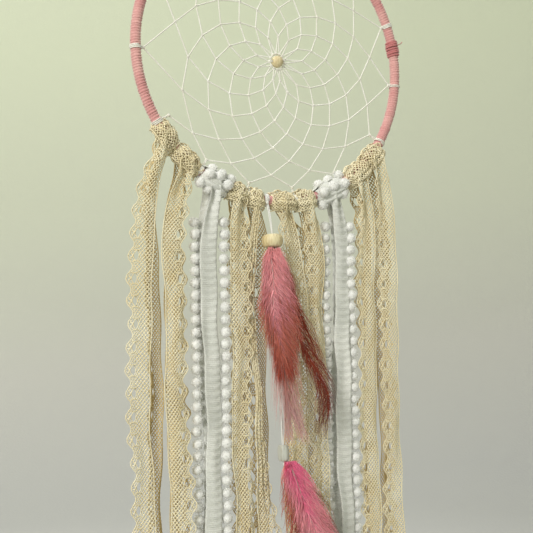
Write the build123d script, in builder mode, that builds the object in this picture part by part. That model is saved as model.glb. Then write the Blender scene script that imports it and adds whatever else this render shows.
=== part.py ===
from build123d import *
from math import atan2, cos, degrees, hypot, radians, sin, tan
import os

# Dream catcher: a yarn-wrapped hoop with a woven thread web, ten strips of lace and pompom trim
# knotted along its lower half, and a thread pendant with two wooden beads and two bunches of
# feathers.
#
# Millimetres.  +Z is up, the front faces -Y, and the origin is the centre of the nail or hook
# that carries the hanging loop.

os.makedirs("parts", exist_ok=True)

# ---- hoop and web -----------------------------------------------------------------------------
HOOP_RADIUS = 96.5  # to the middle of the rod, so the wrapped hoop is 200 mm across
CORE_RADIUS = 2.5
WRAP_RADIUS = 3.4
WRAP_GAP = 0.05  # between the bare ring and the yarn on it
HOOP_Z = -163.0  # height of the hoop's centre

WEB_THREAD = 0.9
WEB_TIP_RADIUS = 91.5  # where the web leaves the rod
WEB_TIP_AT_KNOTS = 87.4  # the same, where trims crowd the rod
# Where the web is hitched round the rod, in degrees from +X, counter-clockwise from the front.
WEB_HITCHES = [-149, -124.6, -103, -82, -60, -32, -6, 20, 46, 72, 98, 125, 152, 182]
CROWDED_HITCHES = [-149, -124.6, -103, -82, -60, -32]
BURIED_HITCH = -60  # this one lies under a trim's knot
WEB_FIRST_ROW = 80.5
WEB_ROW_PITCH = 9.8  # each turn of the weave is this much nearer the middle
WEB_KNOTS = 98
WEB_EYE_RADIUS = 5.4  # the last, tight ring round the bead
WEB_BEAD_X = 2.6
WEB_BEAD_Z = HOOP_Z - 2.1
WEB_BEAD_RADIUS = 4.0
WEB_BEAD_BORE = 1.0

# ---- hanging loop -------------------------------------------------------------------------------
LOOP_CORD = 1.2
NAIL_RADIUS = 2.0
LOOP_FOOT_Z = -56.0
LOOP_FOOT_X = 0.9
LOOP_KNOT_RADIUS = 2.4
LOOP_KNOT_TOP = -56.4
LOOP_KNOT_HEIGHT = 4.6  # clears the hitch when the hoop swings sideways
HITCH_CLEARANCE = 0.2
HITCH_SPACING = 1.5
HITCH_STEM_RADIUS = 1.1
HITCH_STEM_TOP = -62.4

# ---- trims ----------------------------------------------------------------------------------------
KNOT_RADIUS = 8.2
KNOT_BORE = 3.5
KNOT_ROUNDING = 2.4
STRIP_THICKNESS = 1.2
STRIP_Y = 2.2  # the front tail hangs this far before the rod's middle, the rear one behind it
POM_RADIUS = 3.5
POM_PITCH = 7.8
POM_GAP = 0.2

# Each knot: number, kind, angle on the hoop, half its width along the hoop, both in degrees.
KNOTS = [
    (1, "lace", -142.5, 5.0),
    (2, "lace", -131.0, 5.7),
    (3, "pompom", -117.4, 6.4),
    (4, "lace", -107.15, 3.45),
    (5, "lace", -99.3, 3.0),
    (6, "lace", -87.4, 4.8),
    (7, "lace", -77.5, 3.8),
    (8, "pompom", -64.7, 7.8),
    (9, "lace", -50.0, 5.3),
    (10, "lace", -39.4, 4.7),
]

# Each tail: the middle's x, its width, and the height, from the top down.  The heights are
# measured from the hoop's centre.
FRONT_TAILS = {
    1: [(-87.2, 13, -82), (-93.5, 16, -126), (-95.0, 16, -305), (-94.6, 16, -404)],
    2: [(-69.6, 14, -94), (-73.4, 13, -186), (-70.0, 15, -305), (-69.5, 15, -412)],
    3: [(-48.4, 11, -108), (-48.3, 11, -225), (-48.6, 11, -265), (-48.3, 11, -398)],
    4: [(-29.1, 12, -106), (-28.4, 13, -134), (-29.2, 12, -190), (-28.6, 13, -311), (-28.2, 13, -420)],
    5: [(-17.0, 4, -108), (-16.8, 5, -246), (-12.6, 13, -300), (-12.0, 14, -392)],
    6: [(5.0, 12, -106), (8.0, 12, -120), (13.4, 12, -160), (13.0, 13, -240), (11.5, 14, -408)],
    7: [(24.2, 11, -107), (27.2, 12, -190), (27.4, 12, -300), (27.0, 12, -428)],
    8: [(45.6, 11, -106), (46.0, 11, -200), (46.6, 11, -310), (46.4, 11, -402)],
    9: [(66.6, 12, -97), (66.2, 13, -155), (66.2, 13, -300), (66.6, 13, -416)],
    10: [(80.8, 12, -82), (83.8, 14, -162), (84.8, 14, -322), (85.2, 14, -398)],
}
REAR_TAILS = {
    1: [(-84.6, 8, -82), (-84.8, 8, -168), (-84.6, 8, -240), (-84.4, 8, -388)],
    2: [(-68.4, 12, -94), (-70.6, 12, -186), (-69.0, 13, -305), (-68.8, 13, -396)],
    3: [(-48.8, 10, -108), (-48.6, 10, -225), (-48.6, 10, -300), (-48.4, 10, -384)],
    4: [(-27.2, 12, -106), (-27.0, 12, -213), (-27.0, 12, -311), (-26.8, 12, -402)],
    5: [(-13.4, 12, -108), (-13.4, 12, -200), (-13.2, 12, -262), (-13.2, 13, -408)],
    6: [(11.4, 13, -108), (13.2, 13, -162), (12.6, 14, -240), (11.8, 15, -388)],
    7: [(24.9, 11, -107), (27.2, 12, -190), (27.4, 12, -300), (27.2, 12, -410)],
    8: [(46.4, 10, -106), (46.2, 10, -200), (46.0, 10, -310), (46.0, 10, -386)],
    9: [(68.2, 12, -97), (69.6, 12, -155), (69.6, 12, -300), (69.0, 12, -396)],
    10: [(80.6, 10, -82), (83.4, 12, -162), (84.4, 12, -322), (84.6, 12, -414)],
}
POM_TOP = -112.0

# ---- pendant --------------------------------------------------------------------------------------
PENDANT_X = -8.7
PENDANT_CORD = 1.6  # two threads side by side
# The cord's path, as y and height from the hoop's centre: it hangs forward over the ribbons.
PENDANT_PATH = [(-4.6, -98.9), (-10.1, -114.0), (-21.6, -266.4)]
UPPER_BEAD_DOWN = 10.0  # the upper bead's middle, along the cord from its bend
UPPER_BEAD_RADIUS = 6.9
UPPER_BEAD_END_RADIUS = 4.4
UPPER_BEAD_HEIGHT = 8.4
LOWER_BEAD_DOWN = 145.0
LOWER_BEAD_RADIUS = 3.6
LOWER_BEAD_END_RADIUS = 2.9
LOWER_BEAD_HEIGHT = 10.0
BEAD_BORE = 2.1
QUILL_RADIUS = 0.4
QUILL_IN_BEAD = 3.6
VANE_THICKNESS = 0.8
QUILL_MEETS_VANE = 13.0  # below the bead

# Each feather: name, quill place in the bore (x, forward), vane's distance forward of the cord,
# and the vane's stations (left x, right x, distance down from the bead), from the top down.
UPPER_FEATHERS = [
    ("upper_feather_front", (0.0, 1.45), 2.9,
     [(-5.6, 5.4, 3), (-8.8, 7.6, 8), (-10.4, 11, 22), (-13.8, 14.5, 36), (-14, 17, 50),
      (-10, 17, 62), (-6, 14, 74), (-3, 10, 86)]),
    ("upper_feather_middle", (-1.25, 0.75), 1.5,
     [(-4, 4, 9), (-9, 9, 25), (-10, 13, 55), (-9, 15, 85), (-6, 17, 108), (1, 16, 124)]),
    ("upper_feather_rear", (1.2, -0.8), -1.6,
     [(-1, 5, 4), (2, 14, 12), (5, 18, 28), (6, 22, 48), (10, 28, 66), (18, 37, 80),
      (27, 43, 96), (29, 42, 106), (23, 33, 122)]),
]
LOWER_FEATHERS = [
    ("lower_feather_front", (0.0, 1.45), 2.9,
     [(-2, 8, 3), (-3, 15, 9), (-1.5, 20, 18), (2, 25, 30), (6, 33, 46), (10, 39, 64),
      (14, 39, 80), (20, 33, 96)]),
    ("lower_feather_middle", (-1.25, 0.75), 1.5,
     [(-2, 10, 9), (-4, 18, 18), (-4, 24, 30), (-2, 30, 50), (2, 34, 72), (8, 28, 96)]),
    ("lower_feather_rear", (1.2, -0.8), -1.6,
     [(0, 10, 4), (2, 22, 20), (4, 34, 40), (10, 42, 60), (18, 42, 80), (24, 34, 100)]),
]

HOOP_AXIS = Axis((0, 0, HOOP_Z), (0, -1, 0))


def finish(part, name):
    """Label a finished piece and write it."""
    part.label = name
    export_step(part, f"parts/{name}.step")


def rod_plane(angle):
    """The plane that cuts the rod square across: x points outwards, y to the rear."""
    outward = (cos(radians(angle)), 0, sin(radians(angle)))
    along = (-sin(radians(angle)), 0, cos(radians(angle)))
    middle = (HOOP_RADIUS * outward[0], 0, HOOP_Z + HOOP_RADIUS * outward[2])
    return Plane(origin=middle, x_dir=outward, z_dir=along)


def full_radius(first, corner, last):
    """The largest arc, in mm, that a cord takes at a corner between two runs."""
    before = Vector(*corner) - Vector(*first)
    after = Vector(*last) - Vector(*corner)
    half_turn = radians(before.get_angle(after)) / 2
    return 0.45 * min(before.length, after.length) / tan(half_turn)


# ---- the hoop ---------------------------------------------------------------------------------------
with BuildPart() as hoop_core:
    with Locations(Plane(origin=(0, 0, HOOP_Z), z_dir=(0, -1, 0))):
        Torus(HOOP_RADIUS, CORE_RADIUS)
finish(hoop_core.part, "hoop_core")

with BuildPart() as hoop_wrap:
    with Locations(Plane(origin=(0, 0, HOOP_Z), z_dir=(0, -1, 0))):
        Torus(HOOP_RADIUS, WRAP_RADIUS)
        Torus(HOOP_RADIUS, CORE_RADIUS + WRAP_GAP, mode=Mode.SUBTRACT)
finish(hoop_wrap.part, "hoop_wrap")


# ---- the web: a thread that hitches on the middle of the row before, in a closing spiral ----------
def web_points():
    """All the web's knots as (x, z) from the hoop's centre: the tips on the rod, then the weave."""
    tips = len(WEB_HITCHES)
    angles = list(WEB_HITCHES)
    points = []
    for angle in WEB_HITCHES:
        reach = WEB_TIP_AT_KNOTS if angle in CROWDED_HITCHES else WEB_TIP_RADIUS
        points.append((reach * cos(radians(angle)), reach * sin(radians(angle))))
    for index in range(WEB_KNOTS + tips):
        later = angles[index + 1]
        if later < angles[index]:
            later += 360
        angles.append((angles[index] + later) / 2)
        woven = index < WEB_KNOTS
        reach = WEB_FIRST_ROW - WEB_ROW_PITCH * index / tips if woven else WEB_EYE_RADIUS
        pull = min(1.0, index / WEB_KNOTS)
        x = reach * cos(radians(angles[-1])) + pull * WEB_BEAD_X
        z = reach * sin(radians(angles[-1])) + pull * (WEB_BEAD_Z - HOOP_Z)
        points.append((x, z))
    return points


def web_strokes():
    """Flat strokes of thread, as pairs of end points."""
    tips = len(WEB_HITCHES)
    points = web_points()
    pairs = []
    for index in range(tips, len(points)):
        pairs.append((points[index], points[index - tips]))
        pairs.append((points[index], points[index - tips + 1]))
    for angle, tip in zip(WEB_HITCHES, points):
        if angle != BURIED_HITCH:
            foot = HOOP_RADIUS - WRAP_RADIUS - WEB_THREAD / 2
            pairs.append((tip, (foot * cos(radians(angle)), foot * sin(radians(angle)))))
    eye = points[-tips:]
    pairs += list(zip(eye, eye[1:] + eye[:1]))
    bead = (WEB_BEAD_X, WEB_BEAD_Z - HOOP_Z)
    pairs.append(((bead[0] - WEB_EYE_RADIUS, bead[1]), (bead[0] + WEB_EYE_RADIUS, bead[1])))
    return pairs


def stroke_face(start, end):
    """One straight stroke, a little longer than its run so that neighbours join."""
    length = hypot(end[0] - start[0], end[1] - start[1])
    turn = degrees(atan2(end[1] - start[1], end[0] - start[0]))
    middle = Pos((start[0] + end[0]) / 2, (start[1] + end[1]) / 2)
    return middle * Rot(0, 0, turn) * Rectangle(length + 0.6 * WEB_THREAD, WEB_THREAD)


strokes = [stroke_face(start, end) for start, end in web_strokes()]
thread_length = sum(hypot(b[0] - a[0], b[1] - a[1]) for a, b in web_strokes())
print("web thread, mm:", round(thread_length))

with BuildPart() as web_thread:
    with BuildSketch(Plane(origin=(0, 0, HOOP_Z), x_dir=(1, 0, 0), z_dir=(0, -1, 0))):
        add(strokes)
    extrude(amount=WEB_THREAD / 2, both=True)
    for angle in WEB_HITCHES:
        if angle != BURIED_HITCH:
            with Locations(rod_plane(angle)):
                Torus(WRAP_RADIUS + WRAP_GAP + WEB_THREAD / 2, WEB_THREAD / 2)
finish(web_thread.part, "web_thread")

with BuildPart() as web_bead:
    with Locations((WEB_BEAD_X, 0, WEB_BEAD_Z)):
        Sphere(WEB_BEAD_RADIUS)
        with Locations(Rotation(0, 90, 0)):
            Cylinder(WEB_BEAD_BORE, 3 * WEB_BEAD_RADIUS, mode=Mode.SUBTRACT)
finish(web_bead.part, "web_bead")


# ---- the hanging loop, its knot and its hitch round the top of the hoop -----------------------------
loop_turn = NAIL_RADIUS + LOOP_CORD / 2
loop_points = [
    (-LOOP_FOOT_X, 0, LOOP_FOOT_Z),
    (-loop_turn, 0, loop_turn),
    (loop_turn, 0, loop_turn),
    (LOOP_FOOT_X, 0, LOOP_FOOT_Z),
]
with BuildPart() as hanging_loop:
    with BuildLine():
        loop_route = FilletPolyline(*loop_points, radius=[0.98 * loop_turn, 0.98 * loop_turn])
    with BuildSketch(Plane(origin=loop_route @ 0, z_dir=loop_route % 0)):
        Circle(LOOP_CORD / 2)
    sweep(path=loop_route)
finish(hanging_loop.part, "hanging_loop")
loop_length = loop_route.length
print("hanging loop, mm:", round(loop_length, 1), "turn at the nail:", round(loop_turn, 2))
print("tube volume over section times length:",
      round(hanging_loop.part.volume / (Circle(LOOP_CORD / 2).area * loop_length), 4))

with BuildPart() as loop_knot:
    with Locations((0, 0, LOOP_KNOT_TOP - LOOP_KNOT_HEIGHT / 2)):
        Cylinder(LOOP_KNOT_RADIUS, LOOP_KNOT_HEIGHT)
    fillet(loop_knot.edges().filter_by(GeomType.CIRCLE), radius=1.4)
finish(loop_knot.part, "loop_knot")

rod_top = HOOP_Z + HOOP_RADIUS
hitch_turn = WRAP_RADIUS + HITCH_CLEARANCE + LOOP_CORD / 2
with BuildPart() as top_hitch:
    for side in (-1, 1):
        with Locations(Plane(origin=(side * HITCH_SPACING / 2, 0, rod_top), z_dir=(1, 0, 0))):
            Torus(hitch_turn, LOOP_CORD / 2)
    stem_height = HITCH_STEM_TOP - (rod_top + hitch_turn)
    with Locations((0, 0, HITCH_STEM_TOP)):
        Cylinder(
            HITCH_STEM_RADIUS, stem_height + 0.3, align=(Align.CENTER, Align.CENTER, Align.MAX)
        )
    with Locations(Plane(origin=(0, -hitch_turn - 0.4, rod_top), z_dir=(1, 0, 0))):
        Cylinder(LOOP_CORD / 2, HITCH_SPACING + LOOP_CORD)
finish(top_hitch.part, "top_hitch")


# ---- the knots of the trims ---------------------------------------------------------------------------
def make_knot(angle, half_width):
    """A rounded sleeve round the rod, where the folded strip grips it."""
    with BuildPart() as knot:
        with BuildSketch(rod_plane(angle - half_width)):
            Circle(KNOT_RADIUS)
            Circle(KNOT_BORE, mode=Mode.SUBTRACT)
        revolve(axis=HOOP_AXIS, revolution_arc=2 * half_width)
        rims = [
            edge for edge in knot.edges().filter_by(GeomType.CIRCLE)
            if abs(edge.radius - KNOT_RADIUS) < 0.01
        ]
        fillet(rims, radius=KNOT_ROUNDING)
    return knot.part


for number, kind, angle, half_width in KNOTS:
    finish(make_knot(angle, half_width), f"{kind}_knot_{number}")


# ---- the tails -----------------------------------------------------------------------------------------
def make_tail(stations, y_middle):
    """A flat hanging strip through its stations."""
    left = [(x - width / 2, height) for x, width, height in stations]
    right = [(x + width / 2, height) for x, width, height in reversed(stations)]
    with BuildPart() as tail:
        with BuildSketch(Plane(origin=(0, y_middle, HOOP_Z), x_dir=(1, 0, 0), z_dir=(0, -1, 0))):
            with BuildLine():
                Polyline(*left, *right, close=True)
            make_face()
        extrude(amount=STRIP_THICKNESS / 2, both=True)
    return tail.part


def edge_at(stations, height, side):
    """The x of a strip's left (-1) or right (1) edge at a height."""
    for (x0, width0, high), (x1, width1, low) in zip(stations, stations[1:]):
        if low <= height <= high:
            share = (high - height) / (high - low)
            return x0 + share * (x1 - x0) + side * (width0 + share * (width1 - width0)) / 2
    raise ValueError("height is off the strip")


def make_pom_row(stations, y_middle, side):
    """Pompoms along one edge of a strip, each a solid of its own."""
    places = []
    height = POM_TOP
    while height - POM_RADIUS > stations[-1][2]:
        reach = POM_RADIUS + POM_GAP
        edge = max if side > 0 else min
        nearby = [edge_at(stations, height + step, side) for step in (-POM_RADIUS, 0, POM_RADIUS)]
        places.append((edge(nearby) + side * reach, y_middle, HOOP_Z + height))
        height -= POM_PITCH
    with BuildPart() as row:
        with Locations(*places):
            Sphere(POM_RADIUS)
    return row.part


for number, kind, _, _ in KNOTS:
    finish(make_tail(FRONT_TAILS[number], -STRIP_Y), f"{kind}_tail_{number}_front")
    finish(make_tail(REAR_TAILS[number], STRIP_Y), f"{kind}_tail_{number}_rear")
    if kind == "pompom":
        finish(make_pom_row(FRONT_TAILS[number], -STRIP_Y, 1), f"pompom_row_{number}_right")
        finish(make_pom_row(REAR_TAILS[number], STRIP_Y, -1), f"pompom_row_{number}_left")


# ---- the pendant ------------------------------------------------------------------------------------------
pendant_angle = -90 + degrees(atan2(PENDANT_X, HOOP_RADIUS))
with BuildPart() as pendant_hitch:
    with Locations(rod_plane(pendant_angle)):
        Torus(WRAP_RADIUS + WRAP_GAP + WEB_THREAD / 2, WEB_THREAD / 2)
finish(pendant_hitch.part, "pendant_hitch")

cord_points = [(PENDANT_X, y, HOOP_Z + height) for y, height in PENDANT_PATH]
bend_radius = full_radius(*cord_points)
print("pendant cord bend radius, mm:", round(bend_radius, 1))
with BuildPart() as pendant_cord:
    with BuildLine():
        cord_route = FilletPolyline(*cord_points, radius=bend_radius)
    with BuildSketch(Plane(origin=cord_route @ 0, z_dir=cord_route % 0)):
        Circle(PENDANT_CORD / 2)
    sweep(path=cord_route)
finish(pendant_cord.part, "pendant_cord")
cord_length = cord_route.length
print("pendant cord, mm:", round(cord_length, 1), "tube volume over section times length:",
      round(pendant_cord.part.volume / (Circle(PENDANT_CORD / 2).area * cord_length), 4))

bend = Vector(*cord_points[1])
down = (Vector(*cord_points[2]) - bend).normalized()


def cord_plane(distance, forward=0.0):
    """The plane of the hanging cord: x to the right, y up the cord, z forward."""
    face = Vector(1, 0, 0).cross(down * -1)
    origin = bend + down * distance + face * forward
    return Plane(origin=origin, x_dir=(1, 0, 0), z_dir=face)


def make_bead(distance, radius, end_radius, height):
    """A turned bead, bored along the cord."""
    low, high = -height / 2, height / 2
    with BuildPart() as bead:
        with BuildSketch(cord_plane(distance)):
            with BuildLine():
                Polyline((end_radius, low), (BEAD_BORE, low), (BEAD_BORE, high), (end_radius, high))
                ThreePointArc((end_radius, low), (radius, 0), (end_radius, high))
            make_face()
        revolve(axis=Axis(bend + down * distance, down))
    return bead.part


finish(
    make_bead(UPPER_BEAD_DOWN, UPPER_BEAD_RADIUS, UPPER_BEAD_END_RADIUS, UPPER_BEAD_HEIGHT),
    "upper_bead",
)
finish(
    make_bead(LOWER_BEAD_DOWN, LOWER_BEAD_RADIUS, LOWER_BEAD_END_RADIUS, LOWER_BEAD_HEIGHT),
    "lower_bead",
)


def make_feather(bead_foot, quill, forward, stations):
    """A flat vane on a quill that ends inside the bead's bore."""
    quill_top = cord_plane(bead_foot).from_local_coords(Vector(quill[0], QUILL_IN_BEAD, quill[1]))
    share = quill[0] / 2
    quill_foot = cord_plane(bead_foot).from_local_coords(Vector(share, -QUILL_MEETS_VANE, forward))
    along = quill_foot - quill_top
    left = [(low_x, -drop) for low_x, high_x, drop in stations]
    right = [(high_x, -drop) for low_x, high_x, drop in reversed(stations)]
    with BuildPart() as feather:
        with BuildSketch(cord_plane(bead_foot, forward)):
            with BuildLine():
                Polyline(*left, *right, close=True)
            make_face()
        extrude(amount=VANE_THICKNESS / 2, both=True)
        with BuildSketch(Plane(origin=quill_top, z_dir=along)):
            Circle(QUILL_RADIUS)
        extrude(amount=along.length)
    return feather.part


upper_foot = UPPER_BEAD_DOWN + UPPER_BEAD_HEIGHT / 2
for name, quill, forward, stations in UPPER_FEATHERS:
    finish(make_feather(upper_foot, quill, forward, stations), name)

lower_foot = LOWER_BEAD_DOWN + LOWER_BEAD_HEIGHT / 2
for name, quill, forward, stations in LOWER_FEATHERS:
    finish(make_feather(lower_foot, quill, forward, stations), name)
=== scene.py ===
from math import atan2, cos, pi, radians, sin, sqrt

import bpy
import numpy as np
from mathutils import Matrix, Vector


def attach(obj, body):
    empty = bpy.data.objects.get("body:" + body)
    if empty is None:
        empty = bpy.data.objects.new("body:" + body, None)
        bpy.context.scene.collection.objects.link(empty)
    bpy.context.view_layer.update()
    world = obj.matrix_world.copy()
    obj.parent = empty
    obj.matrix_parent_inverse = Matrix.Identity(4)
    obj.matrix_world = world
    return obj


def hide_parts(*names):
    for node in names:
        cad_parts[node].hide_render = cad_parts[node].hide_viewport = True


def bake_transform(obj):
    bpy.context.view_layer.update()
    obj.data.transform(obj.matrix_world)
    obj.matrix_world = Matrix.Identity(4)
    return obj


# Dream catcher.  The frame's origin is the nail that carries it, and the front faces -Y.
# The camera's place, the cords' routes and the stage are in metres.  Everything else is worked
# out in millimetres and turned to metres when its mesh is made.

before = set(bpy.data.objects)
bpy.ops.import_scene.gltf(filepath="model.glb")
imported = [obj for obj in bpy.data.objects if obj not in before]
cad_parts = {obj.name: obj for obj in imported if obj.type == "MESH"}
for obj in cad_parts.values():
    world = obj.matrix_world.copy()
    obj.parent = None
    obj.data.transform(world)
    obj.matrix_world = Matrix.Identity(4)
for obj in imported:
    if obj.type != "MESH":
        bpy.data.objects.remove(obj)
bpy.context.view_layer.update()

MM = 0.001
HOOP_Z = -163.0
HOOP_RADIUS = 96.5
ROD_RADIUS = 3.4


# ---- camera and cord routes, in metres ----
CAMERA_PLACE = (-0.2821, -0.5590, -0.3432)
CAMERA_FORWARD = (0.4394, 0.8960, 0.0647)
CAMERA_RIGHT = (0.8982, -0.4392, -0.0174)
CAMERA_LENS_MM = 64.2
SENSOR_WIDTH_MM = 36.0

LOOP_DIAMETER = 0.0012
LOOP_ROUTE = [
    (-0.0009, 0.0, -0.0560),
    (-0.0025, 0.0, -0.0060),
    (-0.0029, 0.0, 0.0031),
    (0.0029, 0.0, 0.0031),
    (0.0025, 0.0, -0.0060),
    (0.0009, 0.0, -0.0560),
]
PENDANT_ROUTE = [
    (-0.0087, -0.0046, -0.2619),
    (-0.0087, -0.0101, -0.2770),
    (-0.0087, -0.0113, -0.2930),
    (-0.0087, -0.0216, -0.4294),
]


def make_camera():
    """A camera at the viewing place, turned to its own directions."""
    forward = Vector(CAMERA_FORWARD).normalized()
    right = Vector(CAMERA_RIGHT).normalized()
    up = right.cross(forward)
    turn = Matrix((right, up, -forward)).transposed()
    data = bpy.data.cameras.new("camera")
    data.lens = CAMERA_LENS_MM
    data.sensor_width = SENSOR_WIDTH_MM
    data.clip_start = 0.01
    camera = bpy.data.objects.new("camera", data)
    camera.matrix_world = Matrix.Translation(CAMERA_PLACE) @ turn.to_4x4()
    bpy.context.scene.collection.objects.link(camera)
    bpy.context.scene.camera = camera


def route_line(route):
    """The points of a route's smooth NURBS line, in metres."""
    curve = bpy.data.curves.new("route", "CURVE")
    curve.dimensions = "3D"
    curve.resolution_u = 48
    spline = curve.splines.new("NURBS")
    spline.points.add(len(route) - 1)
    for point, place in zip(spline.points, route):
        point.co = (*place, 1.0)
    spline.order_u = 3
    spline.use_endpoint_u = True
    holder = bpy.data.objects.new("route", curve)
    mesh = bpy.data.meshes.new_from_object(holder)
    line = np.array([vertex.co for vertex in mesh.vertices], float)
    bpy.data.meshes.remove(mesh)
    bpy.data.objects.remove(holder)
    bpy.data.curves.remove(curve)
    return line


# ---- materials ----
def tint(red, green, blue):
    """A colour given as it looks on a screen, 0 to 255, as shader values."""
    return tuple((value / 255) ** 2.2 for value in (red, green, blue))


class Nodes:
    """A material's node tree, built up one node at a time."""

    def __init__(self, name, roughness, sheen=0.0, specular=0.3):
        self.material = bpy.data.materials.new(name)
        self.material.use_nodes = True
        self.tree = self.material.node_tree
        self.shader = self.tree.nodes["Principled BSDF"]
        self.shader.inputs["Roughness"].default_value = roughness
        self.shader.inputs["Specular IOR Level"].default_value = specular
        self.shader.inputs["Sheen Weight"].default_value = sheen
        self.shader.inputs["Sheen Roughness"].default_value = 0.5
        self.place = self.add("ShaderNodeTexCoord").outputs["Object"]

    def add(self, kind, **settings):
        node = self.tree.nodes.new(kind)
        for key, value in settings.items():
            setattr(node, key, value)
        return node

    def link(self, source, target):
        self.tree.links.new(source, target)

    def noise(self, scale, detail=3.0, stretch=(1, 1, 1)):
        """Noise over the piece, drawn out where stretch is small."""
        mapping = self.add("ShaderNodeMapping")
        mapping.inputs["Scale"].default_value = stretch
        noise = self.add("ShaderNodeTexNoise")
        noise.inputs["Scale"].default_value = scale
        noise.inputs["Detail"].default_value = detail
        self.link(self.place, mapping.inputs["Vector"])
        self.link(mapping.outputs["Vector"], noise.inputs["Vector"])
        return noise.outputs["Fac"]

    def ramp(self, value, stops):
        """A colour ramp of (place, colour) stops over a value."""
        ramp = self.add("ShaderNodeValToRGB")
        elements = ramp.color_ramp.elements
        elements[0].position = stops[0][0]
        elements[0].color = (*stops[0][1], 1)
        elements[1].position = stops[-1][0]
        elements[1].color = (*stops[-1][1], 1)
        for place, colour in stops[1:-1]:
            elements.new(place).color = (*colour, 1)
        self.link(value, ramp.inputs["Fac"])
        return ramp.outputs["Color"]

    def mix(self, how, amount, first, second):
        mix = self.add("ShaderNodeMix", data_type="RGBA", blend_type=how)
        mix.inputs["Factor"].default_value = amount
        self.link(first, mix.inputs["A"])
        self.link(second, mix.inputs["B"])
        return mix.outputs["Result"]

    def colour(self, source):
        self.link(source, self.shader.inputs["Base Color"])

    def bump(self, source, height):
        """Raises the surface by height metres where source is 1."""
        bump = self.add("ShaderNodeBump")
        bump.inputs["Distance"].default_value = height
        self.link(source, bump.inputs["Height"])
        self.link(bump.outputs["Normal"], self.shader.inputs["Normal"])


def fibre_material(name, dark, light, patch, grain, bump=0.0002, sheen=0.25, roughness=0.85):
    """Spun fibre: soft patches between two tones, and a fine fuzzy grain."""
    nodes = Nodes(name, roughness, sheen, 0.2)
    patches = nodes.ramp(nodes.noise(patch, 4.0), [(0.3, dark), (0.7, light)])
    fine = nodes.noise(grain)
    specks = nodes.ramp(fine, [(0.25, (0.72, 0.70, 0.66)), (0.6, (1.0, 1.0, 1.0))])
    nodes.colour(nodes.mix("MULTIPLY", 0.8, patches, specks))
    nodes.bump(fine, bump)
    return nodes.material


def wood_material(name, dark, light, scale):
    """Turned wood: stretched grain lines with a satin face."""
    nodes = Nodes(name, 0.42, 0.0, 0.4)
    broad = nodes.noise(scale, 5.0, (1.0, 1.0, 0.16))
    lines = nodes.noise(scale * 5, 6.0, (1.0, 1.0, 0.10))
    tone = nodes.ramp(broad, [(0.3, dark), (0.62, light)])
    pores = nodes.ramp(lines, [(0.35, (0.62, 0.52, 0.40)), (0.55, (1.0, 1.0, 1.0))])
    nodes.colour(nodes.mix("MULTIPLY", 0.55, tone, pores))
    nodes.bump(lines, 0.00008)
    return nodes.material


def tinted_material(name, roughness, sheen):
    """Feather: the barbs carry their colours, partly brightened as painted highlight, over a fine streaky
    grain.
    """
    nodes = Nodes(name, roughness, sheen, 0.25)
    own = nodes.add("ShaderNodeAttribute", attribute_name="tint").outputs["Color"]
    fine = nodes.noise(900.0, 3.0, (1.0, 1.0, 0.2))
    streaks = nodes.ramp(fine, [(0.3, (0.70, 0.66, 0.66)), (0.65, (1.0, 1.0, 1.0))])
    nodes.colour(nodes.mix("MULTIPLY", 0.6, own, streaks))
    nodes.bump(fine, 0.0001)
    return nodes.material


def metal_material(name):
    """Satin steel, for the ring inside the yarn."""
    nodes = Nodes(name, 0.35, 0.0, 0.5)
    nodes.shader.inputs["Metallic"].default_value = 1.0
    fine = nodes.noise(700.0)
    nodes.colour(nodes.ramp(fine, [(0.3, tint(150, 148, 146)), (0.7, tint(190, 188, 186))]))
    nodes.bump(fine, 0.00003)
    return nodes.material


YARN = fibre_material("yarn", tint(214, 148, 147), tint(232, 178, 173), 90.0, 2600.0,
                      sheen=0.5, roughness=0.6)
YARN_DARK = fibre_material("yarn_dark", tint(190, 108, 110), tint(212, 136, 136), 90.0, 2600.0,
                           sheen=0.4, roughness=0.7)
THREAD = fibre_material("web_thread", tint(240, 238, 226), tint(254, 253, 246), 70.0, 3000.0)
CORD = fibre_material("cord", tint(224, 218, 196), tint(244, 240, 224), 70.0, 2600.0)
WHITE_THREAD = fibre_material("white_thread", tint(232, 232, 228), tint(250, 250, 246), 70.0,
                              3000.0)
LACE = fibre_material("lace", tint(240, 225, 183), tint(252, 243, 211), 45.0, 2400.0)
# A darker, more golden copy of the lace for the rear tails: painted shade, standing in for the shadow
# behind the front tails.
LACE_PAINTED_SHADE = fibre_material("lace_painted_shade", tint(204, 179, 122), tint(227, 204, 152), 45.0, 2400.0)
TAPE = fibre_material("tape", tint(214, 216, 210), tint(234, 235, 230), 50.0, 2000.0, 0.00025)
POM = fibre_material("pompom", tint(238, 239, 236), tint(253, 253, 251), 60.0, 1500.0, 0.0003,
                     0.5)
FEATHER = tinted_material("feather", 0.7, 0.35)
BEAD_WOOD = wood_material("bead_wood", tint(208, 188, 140), tint(230, 217, 176), 160.0)
BEAD_PALE = wood_material("bead_pale", tint(170, 171, 160), tint(204, 205, 196), 160.0)
METAL = metal_material("ring_metal")


# ---- mesh helpers ----
def volume(points, faces):
    """The signed volume that the faces enclose."""
    total = 0.0
    for second in range(1, faces.shape[1] - 1):
        first, middle, last = (points[faces[:, k]] for k in (0, second, second + 1))
        total += (first * np.cross(middle, last)).sum()
    return total


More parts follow.
